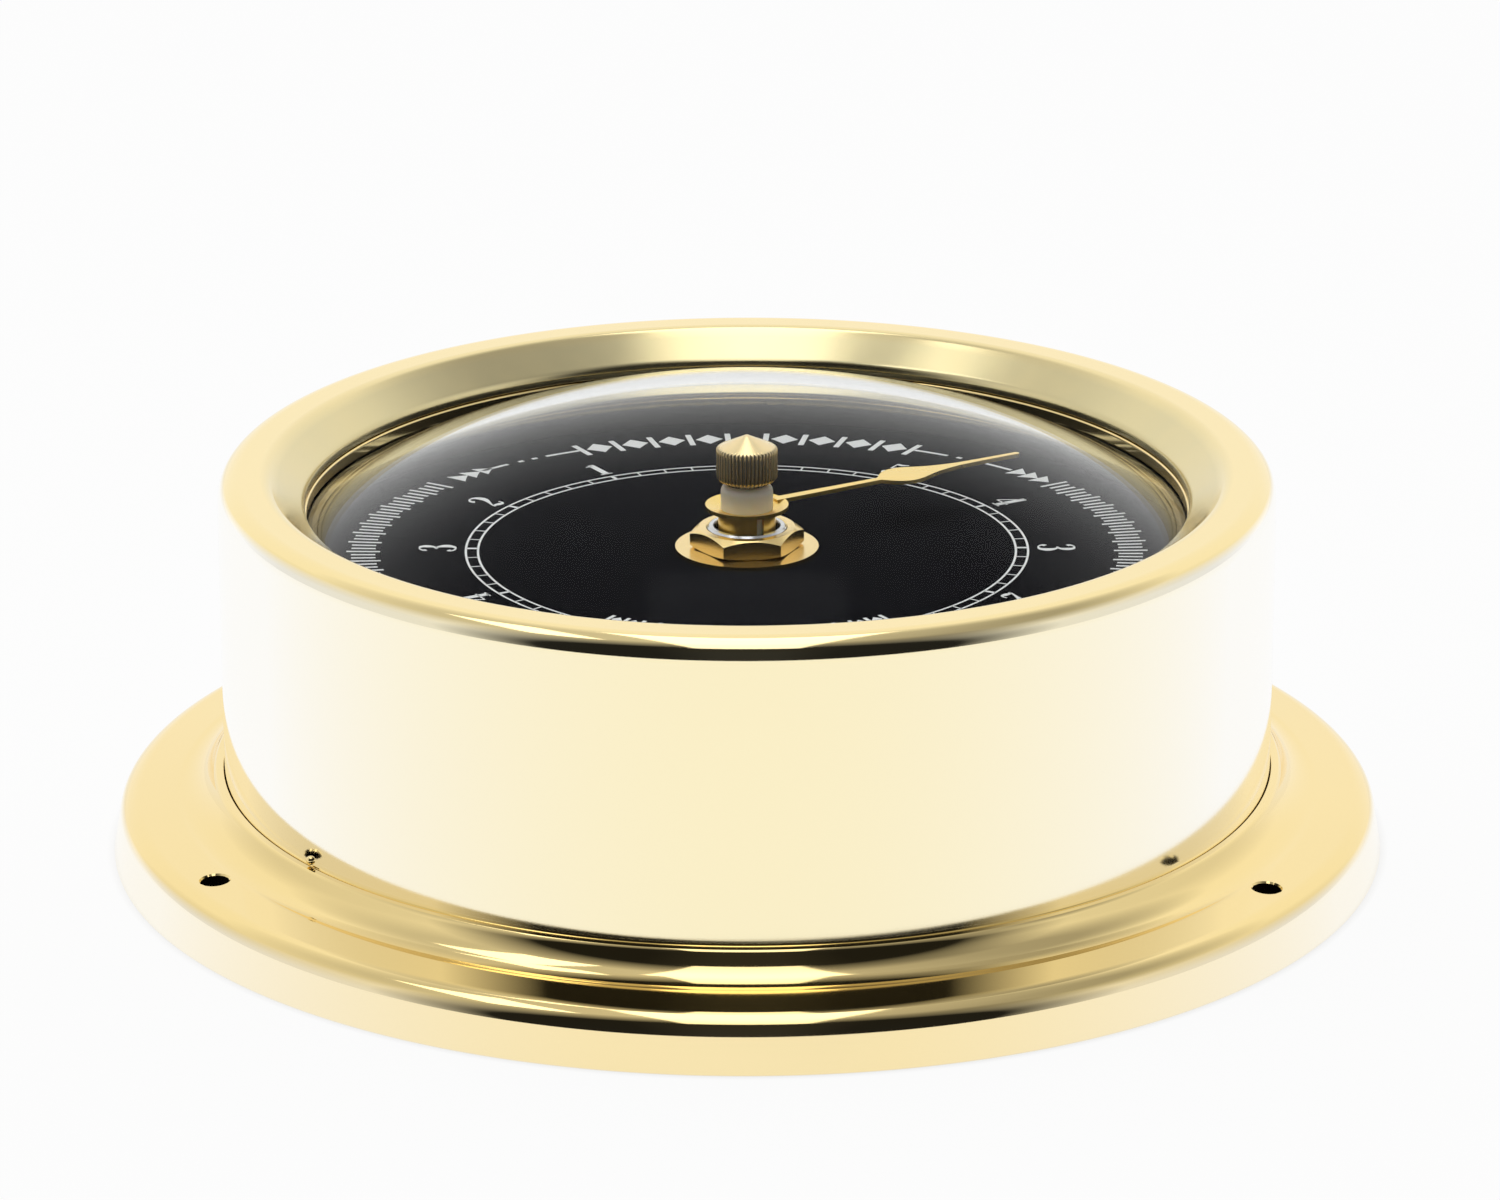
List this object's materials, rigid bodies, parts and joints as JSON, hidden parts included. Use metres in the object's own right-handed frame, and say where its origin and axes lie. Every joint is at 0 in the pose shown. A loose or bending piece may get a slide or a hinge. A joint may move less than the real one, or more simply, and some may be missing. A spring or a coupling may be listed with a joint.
{
  "type": "tide clock",
  "caption": "Round brass tide clock for wall or desk: flanged base, push-fit drum, sunk domed glass, black dial with one hand and a battery movement.",
  "frame": {"origin": "centre of the mounting face at the back of the base", "axes": "+Z out of the dial, +Y to the dial's top, +X to the dial's right"},
  "size_m": [0.17, 0.17, 0.0589],
  "materials": {
    "brass_case": "polished and lacquered brass",
    "brass_hand": "hammered gilt brass",
    "brass_knob": "turned and knurled brass",
    "clear_glass": "clear domed glass",
    "dial_black": "satin black paint with white print",
    "trim_black": "matt black",
    "rubber_black": "plain rubber",
    "steel_bright": "turned bright steel",
    "steel_screw": "zinc plated screws",
    "pillar_brass": "plain turned brass",
    "plate_alloy": "plain sheet aluminium",
    "back_paint": "fine black paint",
    "movement_black": "moulded black plastic, fine grain",
    "movement_clear": "milky moulded plastic",
    "nylon_white": "smooth white nylon",
    "wheel_plastic": "natural moulded plastic",
    "setter_grey": "moulded grey plastic",
    "board_green": "lacquered circuit board",
    "chip_black": "moulded black resin",
    "core_steel": "plain soft iron sheet",
    "coil_copper": "enamelled copper winding",
    "cell_jacket": "plain dark jacket with a bare metal nub",
    "contact_steel": "nickel plated spring strip",
    "magnet_grey": "sintered magnet"
  },
  "bodies": {
    "base": {"flange_base": "brass_case", "back_plate": "back_paint", "back_plate_screws": "steel_screw", "dial_pillars": "pillar_brass", "pillar_screws_rear": "steel_screw", "pillar_screws_front": "steel_screw", "case_seal": "rubber_black", "dial_carrier": "plate_alloy", "dial_plate": "dial_black", "movement_cushion": "rubber_black", "threaded_bush": "steel_bright", "hub_washer": "brass_case", "hub_nut": "brass_case", "movement_housing": "movement_black", "movement_cover": "movement_clear", "movement_cover_screws": "steel_screw", "train_plate": "movement_clear", "circuit_board": "board_green", "clock_chip": "chip_black", "quartz_crystal": "steel_bright", "stator_plate": "core_steel", "coil": "coil_copper", "battery_cell": "cell_jacket", "battery_contact_positive": "contact_steel", "battery_contact_negative": "contact_steel"},
    "case_cover": {"case_drum": "brass_case", "case_index_pin": "brass_case", "glass_ring": "brass_case", "domed_glass": "clear_glass", "glass_gasket": "rubber_black", "rehaut_ring": "trim_black", "snap_ring": "steel_bright"},
    "setting_arbor": {"setting_knob": "brass_knob", "minute_arbor": "pillar_brass"},
    "hour_shaft": {"hour_pipe": "nylon_white", "tide_hand": "brass_hand"},
    "motion_gear": {"motion_wheel": "nylon_white"},
    "rear_setter": {"rear_setting_wheel": "setter_grey"},
    "centre_gear": {"centre_wheel": "wheel_plastic"},
    "third_gear": {"third_wheel": "wheel_plastic"},
    "fourth_gear": {"fourth_wheel": "wheel_plastic"},
    "fifth_gear": {"fifth_wheel": "wheel_plastic"},
    "rotor": {"rotor_pinion": "nylon_white", "rotor_magnet": "magnet_grey"}
  },
  "joints": [
    {"name": "cover_lift", "type": "slide", "parent": "base", "child": "case_cover", "axis": [0, 0, 1], "range_m": [0, 0.05]},
    {"name": "knob_spin", "type": "hinge", "parent": "base", "child": "setting_arbor", "pos_m": [0, 0, 0.045], "axis": [0, 0, 1], "continuous": true},
    {"name": "hand_spin", "type": "hinge", "parent": "base", "child": "hour_shaft", "pos_m": [0, 0, 0.04], "axis": [0, 0, 1], "continuous": true},
    {"name": "motion_spin", "type": "hinge", "parent": "base", "child": "motion_gear", "pos_m": [-0.00509, 0.00509, 0.0325], "axis": [0, 0, 1], "continuous": true},
    {"name": "rear_setter_spin", "type": "hinge", "parent": "base", "child": "rear_setter", "pos_m": [-0.01164, 0.00887, 0.025], "axis": [0, 0, 1], "continuous": true},
    {"name": "rotor_spin", "type": "hinge", "parent": "base", "child": "rotor", "pos_m": [0.00214, 0.01744, 0.025], "axis": [0, 0, 1], "continuous": true},
    {"name": "fifth_spin", "type": "hinge", "parent": "base", "child": "fifth_gear", "pos_m": [0.00796, 0.01408, 0.025], "axis": [0, 0, 1], "continuous": true},
    {"name": "fourth_spin", "type": "hinge", "parent": "base", "child": "fourth_gear", "pos_m": [0.01259, 0.00857, 0.025], "axis": [0, 0, 1], "continuous": true},
    {"name": "third_spin", "type": "hinge", "parent": "base", "child": "third_gear", "pos_m": [0.00851, 0.0015, 0.025], "axis": [0, 0, 1], "continuous": true},
    {"name": "centre_spin", "type": "hinge", "parent": "base", "child": "centre_gear", "pos_m": [0, 0, 0.0297], "axis": [0, 0, 1], "continuous": true}
  ],
  "couplings": [
    {"joint": "motion_spin", "follows": "knob_spin", "ratio": -0.33333},
    {"joint": "hand_spin", "follows": "knob_spin", "ratio": 0.083333},
    {"joint": "rear_setter_spin", "follows": "knob_spin", "ratio": 0.83333},
    {"joint": "fifth_spin", "follows": "rotor_spin", "ratio": -0.16667},
    {"joint": "fourth_spin", "follows": "rotor_spin", "ratio": 0.033333},
    {"joint": "third_spin", "follows": "rotor_spin", "ratio": -0.0044444},
    {"joint": "centre_spin", "follows": "rotor_spin", "ratio": 0.00055556}
  ]
}
